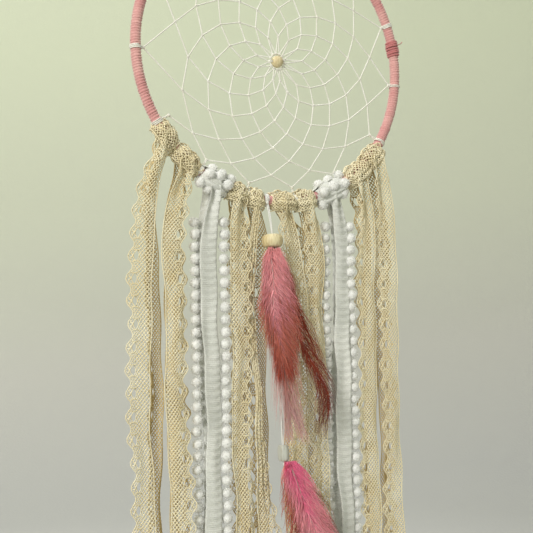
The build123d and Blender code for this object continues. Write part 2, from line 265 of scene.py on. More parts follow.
class Mesh:
    """Gathers the parts of one piece, in millimetres."""

    def __init__(self):
        self.points = []
        self.faces = []
        self.tints = []
        self.count = 0

    def add(self, points, faces, colours=None, closed=True):
        """Adds a part.  A closed part's faces are turned outwards."""
        if closed:
            middle = points - points.mean(axis=0)
            if sum(volume(middle, group) for group in faces) < 0:
                faces = [group[:, ::-1] for group in faces]
        for group in faces:
            self.faces += (group + self.count).tolist()
        self.points.append(points)
        if colours is not None:
            self.tints.append(colours)
        self.count += len(points)

    def piece(self, name, material, body=None, replaces=(), slot=None):
        """Makes the object, lets it ride on its body and stand for its CAD nodes."""
        mesh = bpy.data.meshes.new(name)
        mesh.from_pydata((np.concatenate(self.points) * MM).tolist(), [], self.faces)
        mesh.polygons.foreach_set("use_smooth", np.ones(len(mesh.polygons), bool))
        if self.tints:
            colours = np.concatenate(self.tints)
            colours = np.concatenate([colours, np.ones((len(colours), 1))], axis=1)
            layer = mesh.color_attributes.new("tint", "FLOAT_COLOR", "POINT")
            layer.data.foreach_set("color", colours.astype(np.float32).ravel())
        mesh.materials.append(material)
        mesh.update()
        made = bpy.data.objects.new(name, mesh)
        bpy.context.scene.collection.objects.link(made)
        if body:
            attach(made, body)
        if replaces:
            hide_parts(*replaces)
        return made


def unit(vectors):
    """Vectors scaled to a length of one."""
    size = np.linalg.norm(vectors, axis=-1, keepdims=True)
    return vectors / np.maximum(size, 1e-9)


def run_along(line):
    """The distance along a line at each of its points."""
    steps = np.linalg.norm(np.diff(line, axis=0), axis=1)
    return np.concatenate([[0.0], np.cumsum(steps)])


def resample(line, step):
    """The same line with its points evenly spaced."""
    run = run_along(line)
    at = np.linspace(0, run[-1], max(2, int(round(run[-1] / step)) + 1))
    return np.stack([np.interp(at, run, line[:, k]) for k in range(3)], axis=1)


def glide(places, values, at):
    """A smooth curve through values at rising places."""
    places, values = np.asarray(places, float), np.asarray(values, float)
    slopes = np.gradient(values, places)
    index = np.clip(np.searchsorted(places, at) - 1, 0, len(places) - 2)
    width = places[index + 1] - places[index]
    share = np.clip((at - places[index]) / width, 0, 1)
    rise = values[index + 1] - values[index]
    start = slopes[index] * width
    end = slopes[index + 1] * width
    bend = (3 * rise - 2 * start - end) + share * (start + end - 2 * rise)
    return values[index] + share * (start + share * bend)


def smooth_line(corners, step):
    """A smooth line through corner points."""
    corners = np.asarray(corners, float)
    run = run_along(corners)
    at = np.linspace(0, run[-1], max(3, int(run[-1] / step) + 1))
    return np.stack([glide(run, corners[:, k], at) for k in range(3)], axis=1)


def frames_along(line):
    """Directions along a line, and two across it that don't spin."""
    along = unit(np.gradient(line, axis=0))
    side = np.empty_like(line)
    previous = np.eye(3)[np.argmin(np.abs(along[0]))]
    for index, direction in enumerate(along):
        previous = previous - direction * previous.dot(direction)
        previous = previous / np.linalg.norm(previous)
        side[index] = previous
    return along, side, np.cross(along, side)


def grid_faces(rows, columns, closed):
    """Quads of a grid of points, joined round its columns if closed."""
    row = np.arange(rows - 1)[:, None]
    column = np.arange(columns if closed else columns - 1)[None, :]
    after = (column + 1) % columns
    corners = [row * columns + column, row * columns + after,
               (row + 1) * columns + after, (row + 1) * columns + column]
    return np.stack([corner.ravel() for corner in corners], axis=1)


def tube(line, radius, sides=8, plies=0, pitch=1.0, start_turn=0.0):
    """A closed tube along a line.  Plies give it the lobes of a twisted cord."""
    _, side, up = frames_along(line)
    run = run_along(line)
    angle = np.arange(sides) * 2 * pi / sides
    radius = np.broadcast_to(np.asarray(radius, float), len(line))[:, None]
    if plies:
        phase = plies * (angle - 2 * pi * run[:, None] / pitch - start_turn)
        radius = radius * (0.80 + 0.20 * np.cos(phase))
    else:
        radius = radius * np.ones(sides)
    ring = np.cos(angle)[None, :, None] * side[:, None] + np.sin(angle)[None, :, None] * up[:, None]
    points = (line[:, None] + radius[..., None] * ring).reshape(-1, 3)
    count = len(points)
    points = np.concatenate([points, line[:1], line[-1:]])
    around = np.arange(sides)
    after = (around + 1) % sides
    last = count - sides
    caps = np.concatenate([
        np.stack([after, around, np.full(sides, count)], axis=1),
        np.stack([last + around, last + after, np.full(sides, count + 1)], axis=1),
    ])
    return points, [grid_faces(len(line), sides, True), caps]


def twisted(line, radius, pitch, sides=8, start_turn=0.0):
    """A tube with the lobes of a cord twisted from two plies."""
    return tube(line, radius, sides, 2, pitch, start_turn)


def lathe(profile, origin, axis, sides=56):
    """A closed ring of a profile of (radius, height) points turned round an axis."""
    axis = unit(np.asarray(axis, float))
    first = unit(np.cross(axis, np.eye(3)[np.argmin(np.abs(axis))]))
    second = np.cross(axis, first)
    profile = np.asarray(profile, float)
    angle = np.arange(sides) * 2 * pi / sides
    spoke = np.cos(angle)[:, None] * first + np.sin(angle)[:, None] * second
    points = (np.asarray(origin, float) + profile[:, None, 1:] * axis
              + profile[:, None, :1] * spoke[None])
    points = np.concatenate([points, points[:1]]).reshape(-1, 3)
    faces = grid_faces(len(profile) + 1, sides, True)
    count = len(profile) * sides
    return points[:count], [faces % count]


def place_on(surface, across, down, lift):
    """Flat points on a surface, raised off it by lift towards its front."""
    step = 0.05
    point = surface(across, down)
    over = surface(across + step, down) - surface(across - step, down)
    along = surface(across, down + step) - surface(across, down - step)
    return point + np.asarray(lift)[:, None] * unit(np.cross(along, over))


# ---- the hoop ----
def on_rod(angle, outward, rear, along=0.0):
    """Points near the rod: at an angle on the hoop, offset outwards, to the rear and along."""
    angle = np.asarray(angle, float)
    reach = HOOP_RADIUS + outward
    x = reach * np.cos(angle) - along * np.sin(angle)
    z = reach * np.sin(angle) + along * np.cos(angle)
    return np.stack(np.broadcast_arrays(x, rear, HOOP_Z + z), axis=-1)


YARN_TURNS = 350
YARN_RIDGE = np.array([-0.42, -0.02, 0.14, 0.10, -0.12])
SPLICE_ANGLE = 10.0
SPLICE_TURNS = 7
SPLICE_YARN = 0.75
LOOSE_END = 0.35


def make_hoop():
    """Yarn wound round and round the ring, each turn a ridge of its own."""
    rng = np.random.default_rng(11)
    turns, rows, sides = YARN_TURNS, len(YARN_RIDGE), 20
    thickness = rng.normal(0, 0.05, turns)
    drift = rng.normal(0, 0.10, turns)
    index = np.arange(turns * rows)
    turn = index // rows
    around = np.arange(sides) * 2 * pi / sides
    radius = ROD_RADIUS - 0.05 + YARN_RIDGE[index % rows] + thickness[turn]
    lean = (index / rows + drift[turn])[:, None] + around[None, :] / (2 * pi)
    angle = 2 * pi * lean / turns
    points = on_rod(angle, radius[:, None] * np.cos(around), radius[:, None] * np.sin(around))
    row = index[:, None]
    column = np.arange(sides)[None, :]
    total = turns * rows
    after_row = np.where(column == sides - 1, row + rows, row) % total
    after = (column + 1) % sides
    corners = [row * sides + column, after_row * sides + after,
               (after_row + 1) % total * sides + after, (row + 1) % total * sides + column]
    corners = np.broadcast_arrays(*corners)
    faces = np.stack([corner.ravel() for corner in corners], axis=1)
    wrap = Mesh()
    wrap.add(points.reshape(-1, 3), [faces])
    wrap.piece("hoop_yarn", YARN, "hoop", ["hoop_wrap"], "yarn_pink")


def make_splice():
    """The place where the yarn's ends were wound over: a few fatter turns and a loose end."""
    middle = radians(SPLICE_ANGLE)
    steps = np.linspace(0, 1, 260)
    wobble = 0.25 * np.sin(steps * 31.0)
    swell = ROD_RADIUS + 0.25 + 0.35 * np.sin(pi * steps) + wobble * 0.3
    around = 2 * pi * SPLICE_TURNS * steps
    along = -5.5 + 11.0 * steps + wobble
    line = on_rod(np.full(len(steps), middle), swell * np.cos(around), swell * np.sin(around), along)
    splice = Mesh()
    splice.add(*tube(line, SPLICE_YARN))
    end = on_rod([middle] * 4, np.array([3.6, 5.2, 7.0, 8.2]), np.array([-1.0, -1.8, -1.6, -2.2]),
                 np.array([2.0, 3.0, 3.4, 4.6]))
    splice.add(*twisted(smooth_line(end, 0.3), LOOSE_END, 1.2, 6))
    splice.piece("yarn_splice", YARN_DARK, "hoop", (), "yarn_pink")


# ---- the web ----
# The knots of the weave are counted from the rod inwards, and hitches are angles in degrees.
WEB_STRAND = 0.9 / 1.7
WEB_TIP_RADIUS = 91.5
WEB_TIP_AT_KNOTS = 87.4
WEB_HITCHES = [-149, -124.6, -103, -82, -60, -32, -6, 20, 46, 72, 98, 125, 152, 182]
CROWDED_HITCHES = [-149, -124.6, -103, -82, -60, -32]
BURIED_HITCH = -60
WEB_FIRST_ROW = 80.5
WEB_ROW_PITCH = 9.8
WEB_KNOTS = 98
WEB_EYE_RADIUS = 5.4
WEB_BEAD = (2.6, -2.1)
WEB_BEAD_RADIUS = 4.0
WEB_BEAD_BORE = 1.0
WEB_PLY_PITCH = 2.6
# The thread's radius in the weave's knots, in the hitches and round the rod.
KNOT_THREAD = 0.36
HITCH_THREAD = 0.4
ROD_THREAD = 0.44
# Windings of the thread, each as its radius, its pitch and its turns.
KNOT_WINDING = (0.55, 0.75, 1.6)
EYE_WINDING = (0.6, 0.8, 1.5)
TIP_WINDING = (0.7, 0.8, 1.7)
ROD_WINDING = (ROD_RADIUS + 0.32, 0.95, 2.3)


def web_points():
    """The web's points as (x, 0, z): its tips near the rod, the weave's knots and the eye."""
    tips = len(WEB_HITCHES)
    angles = list(WEB_HITCHES)
    points = []
    for angle in WEB_HITCHES:
        reach = WEB_TIP_AT_KNOTS if angle in CROWDED_HITCHES else WEB_TIP_RADIUS
        points.append((reach * cos(radians(angle)), 0.0, reach * sin(radians(angle))))
    for index in range(WEB_KNOTS + tips):
        later = angles[index + 1]
        if later < angles[index]:
            later += 360
        angles.append((angles[index] + later) / 2)
        woven = index < WEB_KNOTS
        reach = WEB_FIRST_ROW - WEB_ROW_PITCH * index / tips if woven else WEB_EYE_RADIUS
        pull = min(1.0, index / WEB_KNOTS)
        x = reach * cos(radians(angles[-1])) + pull * WEB_BEAD[0]
        z = reach * sin(radians(angles[-1])) + pull * WEB_BEAD[1]
        points.append((x, 0.0, z))
    return np.array(points) + np.array([0.0, 0.0, HOOP_Z])


def coil(middle, axis, radius, pitch, turns, start=0.0):
    """A short winding round an axis."""
    axis = unit(np.asarray(axis, float))
    first = unit(np.cross(axis, (0.0, 1.0, 0.0)))
    second = np.cross(axis, first)
    steps = np.linspace(0, 1, int(18 * turns) + 1)
    around = start + 2 * pi * turns * steps
    return (np.asarray(middle) + np.outer((steps - 0.5) * pitch * turns, axis)
            + radius * (np.outer(np.cos(around), first) + np.outer(np.sin(around), second)))


def add_stroke(web, start, end, rng):
    """One straight length of twisted thread."""
    line = resample(np.array([start, end]), 0.5)
    line[:, 1] += rng.uniform(-0.12, 0.12)
    web.add(*twisted(line, WEB_STRAND, WEB_PLY_PITCH, start_turn=rng.uniform(0, pi)))


def add_weave(web, points, rng):
    """The weave: from each knot to two knots of the row outside it, with a hitch at the knot."""
    tips = len(WEB_HITCHES)
    for index in range(tips, len(points)):
        older, newer = points[index - tips], points[index - tips + 1]
        add_stroke(web, points[index], older, rng)
        add_stroke(web, points[index], newer, rng)
        if index < tips + WEB_KNOTS:
            winding = coil(points[index], newer - older, *KNOT_WINDING, rng.uniform(0, 6))
            web.add(*tube(winding, KNOT_THREAD, 6))


def add_eye(web, eye, rng):
    """The ring of thread round the web's middle."""
    for first, second in zip(eye, np.roll(eye, -1, axis=0)):
        add_stroke(web, first, second, rng)
        web.add(*tube(coil(first, second - first, *EYE_WINDING), HITCH_THREAD, 6))


def add_hitch(web, angle, tip, rng):
    """A tip tied to the rod: two strands up to it, a hitch below it and turns round the yarn."""
    turn = radians(angle)
    for side in (-1, 1):
        add_stroke(web, tip, on_rod(turn, -ROD_RADIUS - 0.3, 0.0, 0.62 * side), rng)
    outwards = (cos(turn), 0.0, sin(turn))
    web.add(*tube(coil(tip, outwards, *TIP_WINDING), HITCH_THREAD, 6))
    tangent = (-sin(turn), 0.0, cos(turn))
    band = coil(on_rod(turn, 0.0, 0.0), tangent, *ROD_WINDING, rng.uniform(0, 6))
    web.add(*twisted(band, ROD_THREAD, WEB_PLY_PITCH))


def add_bead_strands(web, rng):
    """The two strands that run through the bead from side to side of the eye."""
    bead = np.array([WEB_BEAD[0], 0.0, HOOP_Z + WEB_BEAD[1]])
    reach = np.array([WEB_EYE_RADIUS, 0.0, 0.0])
    for drop in (-0.3, 0.3):
        offset = np.array([0.0, 0.0, drop])
        add_stroke(web, bead - reach + offset, bead + reach + offset, rng)


def make_web():
    """The web: its weave, its eye, its hitches on the rod and the bead's strands."""
    rng = np.random.default_rng(5)
    points = web_points()
    web = Mesh()
    add_weave(web, points, rng)
    add_eye(web, points[-len(WEB_HITCHES):], rng)
    for angle, tip in zip(WEB_HITCHES, points):
        if angle != BURIED_HITCH:
            add_hitch(web, angle, tip, rng)
    add_bead_strands(web, rng)
    web.piece("web", THREAD, "hoop", ["web_thread"], "thread_cream")


def rounded_bead(radius, end_radius, height, bore, ease=0.35):
    """The outline of a turned bead: bulged outside, eased at its ends, bored through."""
    half = height / 2
    bulge = np.linspace(-1, 1, 23)
    side = np.sqrt(np.maximum(0.0, 1 - bulge ** 2))
    outer = [(end_radius + (radius - end_radius) * swell, half * 0.98 * at)
             for at, swell in zip(bulge, side)]
    eased = [(bore + ease, half), (bore + 0.1, half - 0.12), (bore, half - 0.5)]
    below = [(bore, -half + 0.5), (bore + 0.1, -half + 0.12), (bore + ease, -half)]
    return outer + eased + below


def make_web_bead():
    """The round wooden bead threaded at the web's middle."""
    bead = Mesh()
    half = sqrt(WEB_BEAD_RADIUS ** 2 - (WEB_BEAD_BORE + 0.3) ** 2)
    angle = np.linspace(-1, 1, 25) * atan2(half, WEB_BEAD_BORE + 0.3)
    outline = [(WEB_BEAD_RADIUS * cos(a), WEB_BEAD_RADIUS * sin(a)) for a in angle]
    outline += [(WEB_BEAD_BORE + 0.08, half - 0.1), (WEB_BEAD_BORE, half - 0.6)]
    outline += [(WEB_BEAD_BORE, 0.6 - half), (WEB_BEAD_BORE + 0.08, 0.1 - half)]
    origin = (WEB_BEAD[0], 0.0, HOOP_Z + WEB_BEAD[1])
    bead.add(*lathe(outline, origin, (1, 0, 0)))
    bead.piece("centre_bead", BEAD_WOOD, "web_bead", ["web_bead"], "bead_wood")


# ---- the hanging loop, its knot and its hitch ----
LOOP_STRAND = LOOP_DIAMETER / MM / 1.8
KNOT_STRAND = 0.62
CORD_PLY_PITCH = 3.2
LOOP_KNOT_MIDDLE = (0.0, 0.0, -58.7)
HOOP_TOP = HOOP_Z + HOOP_RADIUS


def make_hanging_loop():
    """The cord loop on the nail, twisted from two plies."""
    route = route_line(LOOP_ROUTE)
    loop = Mesh()
    line = resample(route / MM, 0.45)
    loop.add(*twisted(line, LOOP_STRAND, CORD_PLY_PITCH, 10))
    piece = loop.piece("loop", CORD, "hanging_loop", ["hanging_loop"], "cord_cream")


def make_loop_knot():
    """An overhand knot in the doubled cord: two trefoils, one in front of the other."""
    knot = Mesh()
    turn = np.linspace(0, 2 * pi, 121)[:-1]
    for shift, size in ((-0.35, 0.50), (0.45, 0.58)):
        x = size * (np.sin(turn) + 2 * np.sin(2 * turn))
        z = size * (np.cos(turn) - 2 * np.cos(2 * turn))
        y = -1.0 * np.sin(3 * turn) + shift
        ring = np.stack([x, y, z], axis=1) + np.array(LOOP_KNOT_MIDDLE)
        ring = np.concatenate([ring, ring[:2]])
        knot.add(*twisted(ring, KNOT_STRAND, 3.0))
    for side in (-1, 1):
        ends = [(side * 0.9, 0.0, -55.2), (side * 0.8, -0.1, -57.0), (side * 0.3, 0.3, -59.0)]
        knot.add(*twisted(smooth_line(ends, 0.3), KNOT_STRAND, CORD_PLY_PITCH))
    knot.piece("loop_overhand_knot", CORD, "loop_knot", ["loop_knot"], "cord_cream")


def make_top_hitch():
    """The lark's head of the same cord round the top of the hoop."""
    left = [(-0.5, -0.6, 5.6), (-0.7, -3.2, 3.6), (-0.75, -4.15, 0.0), (-0.75, -2.8, -3.1),
            (-0.8, 0.0, -4.15), (-0.95, 3.0, -3.0), (-1.1, 4.2, 0.0), (-1.4, 3.0, 3.0),
            (-1.6, 0.0, 4.3), (-1.7, -3.2, 3.3), (-1.5, -4.9, 1.7), (-0.7, -5.4, 1.2)]
    right = [(-x, y, z) for x, y, z in reversed(left)]
    line = smooth_line(left + right, 0.35) + np.array([0.0, 0.0, HOOP_TOP])
    hitch = Mesh()
    hitch.add(*twisted(line, KNOT_STRAND, CORD_PLY_PITCH, 10))
    hitch.piece("hoop_hitch", CORD, "top_hitch", ["top_hitch"], "cord_cream")


# ---- lace ----
LACE_PITCH = 2.35
LACE_ROW = 1.4
LACE_COLUMNS = 6
LACE_WIDTH = LACE_PITCH * LACE_COLUMNS
LACE_HOLE = 0.66
LACE_HEIGHT = 0.42
LACE_RIM = 0.45
# One column of the net has large ovals: their half sizes, and how far round them it is pushed.
OVAL_ROWS = 10
OVAL_FIRST = 4
OVAL_SPACING = OVAL_ROWS * LACE_ROW
OVAL_COLUMN = 4
OVAL_HALF = (1.3, 3.3)
OVAL_REACH = (3.3, 5.4)
SCALLOP = 1.7
LACE_EDGE_STRAND = 0.42
# The net is laid out on a lattice: these are the points round a hole, and the lattice's steps.
CELL = np.array([(2, 0), (1, 1), (0, 2), (-1, 1), (-2, 0), (-1, -1), (0, -2), (1, -1)])
STEPS = LACE_PITCH / 4, LACE_ROW / 2


def ellipse_reach(cosine, sine, half):
    """How far an ellipse with these half sizes reaches in a direction."""
    return half[0] * half[1] / np.hypot(half[1] * cosine, half[0] * sine)


def oval_down(down):
    """The distance down from the nearest oval's middle."""
    first = OVAL_FIRST * LACE_ROW
    return (down - first + OVAL_SPACING / 2) % OVAL_SPACING - OVAL_SPACING / 2


def open_ovals(across, down):
    """Pushes the net apart into a row of large ovals, and waves the edge beyond them."""
    middle = (OVAL_COLUMN - (LACE_COLUMNS - 1) / 2) * LACE_PITCH
    offset = across - middle
    drop = oval_down(down)
    distance = np.hypot(offset, drop)
    cosine, sine = offset / np.maximum(distance, 1e-6), drop / np.maximum(distance, 1e-6)
    wanted = ellipse_reach(cosine, sine, OVAL_HALF)
    reach = ellipse_reach(cosine, sine, OVAL_REACH)
    beyond = wanted + (distance - LACE_HOLE) * (reach - wanted) / (reach - LACE_HOLE)
    pushed = np.where(distance < LACE_HOLE, distance * wanted / LACE_HOLE, beyond)
    moved = np.where(distance < reach, pushed, distance)
    change = moved - distance
    edge = np.clip(offset / (LACE_WIDTH / 2 - middle), 0, 1.2)
    wave = SCALLOP * edge * np.cos(2 * pi * drop / OVAL_SPACING)
    return across + change * cosine + wave, down + change * sine


def lace_lattice(columns, rows):
    """The holes, the lattice points round them, each hole's points and the net's outer edges."""
    cells = np.array([(4 * i + 2 * (j % 2), 2 * j)
                      for j in range(rows) for i in range(columns - j % 2)])
    outline = (cells[:, None] + CELL).reshape(-1, 2)
    lattice, where = np.unique(outline, axis=0, return_inverse=True)
    where = where.reshape(len(cells), 8)
    edges = np.stack([where.ravel(), np.roll(where, -1, axis=1).ravel()], axis=1)
    _, kind, uses = np.unique(np.sort(edges, axis=1), axis=0, return_inverse=True,
                              return_counts=True)
    return cells, lattice, where, edges[uses[kind.ravel()] == 1]


def lace_faces(where, behind, rim):
    """The net's faces: front and back slope into each hole, and a wall runs round the outside."""
    after = np.roll(where, -1, axis=1)
    inner = 2 * behind + np.arange(where.size).reshape(-1, 8)
    inner_after = np.roll(inner, -1, axis=1)
    front = np.stack([after, where, inner, inner_after], axis=-1).reshape(-1, 4)
    back = np.stack([where + behind, after + behind, inner_after, inner], axis=-1).reshape(-1, 4)
    wall = np.stack([rim[:, 0], rim[:, 1], rim[:, 1] + behind, rim[:, 0] + behind], axis=1)
    return np.concatenate([front, back, wall])


def lace_net(columns, rows, ovals, seed):
    """A crocheted net as flat points: across, down, height, and its faces."""
    rng = np.random.default_rng(seed)
    cells, lattice, where, rim = lace_lattice(columns, rows)
    knots = lattice * STEPS + rng.normal(0, 0.07, lattice.shape)
    height = LACE_HEIGHT * rng.uniform(0.8, 1.15, len(lattice))
    height[np.unique(rim)] *= LACE_RIM
    angle = np.arange(8) * pi / 4
    size = LACE_HOLE * rng.uniform(0.85, 1.12, (len(cells), 1, 1))
    hole = (cells * STEPS)[:, None] + size * np.stack([np.cos(angle), np.sin(angle)], axis=1)
    flat = np.concatenate([knots, knots, hole.reshape(-1, 2)])
    across, down = flat[:, 0] - (columns - 1) * LACE_PITCH / 2, flat[:, 1]
    if ovals:
        across, down = open_ovals(across, down)
    lift = np.concatenate([height, -height, np.zeros(len(cells) * 8)])
    return across, down, lift, lace_faces(where, len(lattice), rim)


def add_lace(mesh, surface, columns, rows, ovals, side, seed):
    """Puts a length of lace on a surface, with the heavier threads along its edges."""
    across, down, lift, faces = lace_net(columns, rows, ovals, seed)
    mesh.add(place_on(surface, side * across, down, lift), [faces])
    run = np.arange(0, rows * LACE_ROW, 0.8)
    ripple = 0.12 * np.sin(run * 2 * pi / LACE_PITCH)
    for edge in (-1, 1):
        line, at = np.full(len(run), edge * columns * LACE_PITCH / 2), run
        if ovals and edge > 0:
            line, at = open_ovals(line, run)
        mesh.add(*twisted(surface(side * (line + ripple), at), LACE_EDGE_STRAND, 2.4, 6))


# ---- the trims' places ----
# Each knot: number, kind, angle on the hoop, half its width along the hoop, both in degrees.
KNOTS = [
    (1, "lace", -142.5, 5.0),
    (2, "lace", -131.0, 5.7),
    (3, "pompom", -117.4, 6.4),
    (4, "lace", -107.15, 3.45),
    (5, "lace", -99.3, 3.0),
    (6, "lace", -87.4, 4.8),
    (7, "lace", -77.5, 3.8),
    (8, "pompom", -64.7, 7.8),
    (9, "lace", -50.0, 5.3),
    (10, "lace", -39.4, 4.7),
]
# Each tail: the middle's x, its width, and the height from the hoop's centre, from the top down.
FRONT_TAILS = {
    1: [(-87.2, 13, -82), (-93.5, 16, -126), (-95.0, 16, -305), (-94.6, 16, -404)],
    2: [(-69.6, 14, -94), (-73.4, 13, -186), (-70.0, 15, -305), (-69.5, 15, -412)],
    3: [(-48.4, 11, -108), (-48.3, 11, -225), (-48.6, 11, -265), (-48.3, 11, -398)],
    4: [(-29.1, 12, -106), (-28.4, 13, -134), (-29.2, 12, -190), (-28.6, 13, -311), (-28.2, 13, -420)],
    5: [(-17.0, 4, -108), (-16.8, 5, -246), (-12.6, 13, -300), (-12.0, 14, -392)],
    6: [(5.0, 12, -106), (8.0, 12, -120), (13.4, 12, -160), (13.0, 13, -240), (11.5, 14, -408)],
    7: [(24.2, 11, -107), (27.2, 12, -190), (27.4, 12, -300), (27.0, 12, -428)],
    8: [(45.6, 11, -106), (46.0, 11, -200), (46.6, 11, -310), (46.4, 11, -402)],
    9: [(66.6, 12, -97), (66.2, 13, -155), (66.2, 13, -300), (66.6, 13, -416)],
    10: [(80.8, 12, -82), (83.8, 14, -162), (84.8, 14, -322), (85.2, 14, -398)],
}
REAR_TAILS = {
    1: [(-84.6, 8, -82), (-84.8, 8, -168), (-84.6, 8, -240), (-84.4, 8, -388)],
    2: [(-68.4, 12, -94), (-70.6, 12, -186), (-69.0, 13, -305), (-68.8, 13, -396)],
    3: [(-48.8, 10, -108), (-48.6, 10, -225), (-48.6, 10, -300), (-48.4, 10, -384)],
    4: [(-27.2, 12, -106), (-27.0, 12, -213), (-27.0, 12, -311), (-26.8, 12, -402)],
    5: [(-13.4, 12, -108), (-13.4, 12, -200), (-13.2, 12, -262), (-13.2, 13, -408)],
    6: [(11.4, 13, -108), (13.2, 13, -162), (12.6, 14, -240), (11.8, 15, -388)],
    7: [(24.9, 11, -107), (27.2, 12, -190), (27.4, 12, -300), (27.2, 12, -410)],
    8: [(46.4, 10, -106), (46.2, 10, -200), (46.0, 10, -310), (46.0, 10, -386)],
    9: [(68.2, 12, -97), (69.6, 12, -155), (69.6, 12, -300), (69.0, 12, -396)],
    10: [(80.6, 10, -82), (83.4, 12, -162), (84.4, 12, -322), (84.6, 12, -414)],
}
# Which edge the ovals run along: 1 right, -1 left, for the front tail and the rear one.
OVAL_SIDES = {1: (-1, -1), 2: (1, 1), 4: (1, -1), 5: (1, -1), 6: (-1, 1), 7: (-1, 1),
              9: (-1, -1), 10: (-1, 1)}
TAIL_Y = 3.7
TAIL_Y_AT_ROD = 5.6
# The strip moves freely once it is this far below its knot, and folds no deeper than this.
LOOSE_RUN = 60
DEEPEST_FOLD = 2.4
# Shares of the first width: at the rod, below it, and at the first station.
BUNCHED = (0.62, 0.68, 0.86)
# A strip that starts narrower than this is gathered into more folds.
NARROW = 6
NARROW_FOLDS = 2.6


def tail_tables(rod_x, rod_height, stations):
    """A tail's places down from the rod, with its middle, width and depth at each of them.

    Two places inside the knot, where the cloth is bunched, come before the stations.
    """
    near = 0.5 * (rod_x + stations[0][0])
    places = [rod_height - height for _, _, height in stations]
    middles = [0.35 * rod_x + 0.65 * near, near] + [x for x, _, _ in stations]
    widths = [share * stations[0][1] for share in BUNCHED]
    widths += [width for _, width, _ in stations[1:]]
    depths = [TAIL_Y_AT_ROD, TAIL_Y_AT_ROD, TAIL_Y + 0.8] + [TAIL_Y] * (len(stations) - 1)
    return np.array([0.0, 0.45 * places[0]] + places), middles, widths, depths


def tail_surface(angle, stations, facing, cloth_width, folds, seed):
    """Where a hanging strip's flat points go.  Narrow stretches gather it into folds."""
    phase = np.random.default_rng(seed).uniform(0, 2 * pi, 6)
    rod_x = HOOP_RADIUS * cos(radians(angle))
    rod_height = HOOP_RADIUS * sin(radians(angle))
    places, middles, widths, depths = tail_tables(rod_x, rod_height, stations)
    wave = 2 * pi * folds / cloth_width

    def surface(across, down):
        loose = np.clip((down - places[2]) / LOOSE_RUN, 0, 1)
        middle = glide(places, middles, down)
        middle += loose * 0.7 * np.sin(down / 17 + phase[0]) + loose * 0.5 * np.sin(down / 7 + phase[1])
        y = -facing * glide(places, depths, down) + loose * 0.7 * np.sin(down / 21 + phase[2])
        share = np.clip(glide(places, widths, down) / cloth_width, 0.24, 0.985)
        share = np.clip(share + loose * 0.05 * np.sin(down / 13 + phase[3]), 0.24, 0.99)
        fold = np.minimum(np.sqrt(2 * (1 - share ** 2)) / wave, DEEPEST_FOLD)
        fold = fold * np.where(share > 0.7, 0.6, 1.0)
        turn = phase[4] + down / 60 + 0.8 * np.sin(down / 25 + phase[5])
        x_fold = share * across
        y_fold = fold * np.sin(wave * across + turn)
        twist = 0.16 * loose * np.sin(down / 34 + phase[3])
        x = middle + x_fold * np.cos(twist) - y_fold * np.sin(twist)
        y = y + x_fold * np.sin(twist) + y_fold * np.cos(twist)
        z = HOOP_Z + rod_height - down
        return np.stack(np.broadcast_arrays(x, y, z), axis=-1)

    return surface, places[-1]


def blend_tail(piece, angle):
    """Bakes a tail's placement into its mesh points."""
    rod = on_rod(radians(angle), 0.0, 0.0) * MM
    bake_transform(piece)


def make_lace_tail(number, angle, place, stations, facing, ovals_side):
    """One hanging tail of a lace strip."""
    seed = 100 * number + facing + 1
    folds = NARROW_FOLDS if stations[0][1] < NARROW else 1.0
    surface, length = tail_surface(angle, stations, facing, LACE_WIDTH, folds, seed)
    rows = int(length / LACE_ROW)
    tail = Mesh()
    add_lace(tail, surface, LACE_COLUMNS, rows, True, ovals_side, seed)
    name = f"lace_{number}_{place}"
    # Rear tails take the darker lace copy: painted shade.
    material = LACE if facing > 0 else LACE_PAINTED_SHADE
    piece = tail.piece(name, material, None, [f"lace_tail_{number}_{place}"], "lace_ecru")
    blend_tail(piece, angle)


# ---- the knots of cloth ----
# Where round the rod a turn of cloth starts, half the angle a bar turns through, and its depth.
WRAP_START = radians(-160)
BAR_HALF_TURN = radians(112)
BAR_DEPTH = 7.6


def wrap_surface(angle, half_length, reach, width, folds, seed, slant):
    """Cloth wound round the rod: across runs along the rod, down runs round it."""
    phase = np.random.default_rng(seed).uniform(0, 2 * pi, 4)

    def surface(across, down):
        around = WRAP_START + down / reach
        along = across * 2 * half_length / width
        share = np.clip(np.abs(along) / half_length, 0, 1)
        swell = reach - 2.2 * share ** 2.5
        pleat = 0.55 * np.sin(2 * pi * folds * across / width + phase[0] + 0.7 * np.sin(around))
        radius = swell + pleat + 0.3 * np.sin(3 * around + phase[1]) + 0.12 * down / reach
        along = along + slant * (around - WRAP_START) / (2 * pi) + 0.4 * np.sin(2 * around + phase[2])
        outward = radius * np.cos(around)
        rear = radius * np.sin(around)
        return on_rod(np.full_like(across, radians(angle)), outward, rear, along)

    return surface


def bar_surface(angle, half_length, drop, height, width, seed):
    """The bar of cloth that lies across a knot's front and turns in behind at both ends."""
    phase = np.random.default_rng(seed).uniform(0, 2 * pi, 4)
    reach = half_length + 1.0
    squeeze = height / width

    def surface(across, down):
        turn = down / (reach + 1.2) - BAR_HALF_TURN
        pleat = 0.8 * np.sin(4 * pi * across / width + phase[0] + 0.6 * np.sin(2 * turn))
        along = (reach + 0.5 * pleat) * np.sin(turn)
        rear = -(BAR_DEPTH + pleat - 0.10 * across ** 2 * squeeze) * np.cos(turn)
        outward = drop - squeeze * across + 0.9 * np.cos(turn + phase[1]) * 0.6
        return on_rod(np.full_like(across, radians(angle)), outward, rear, along)

    return surface


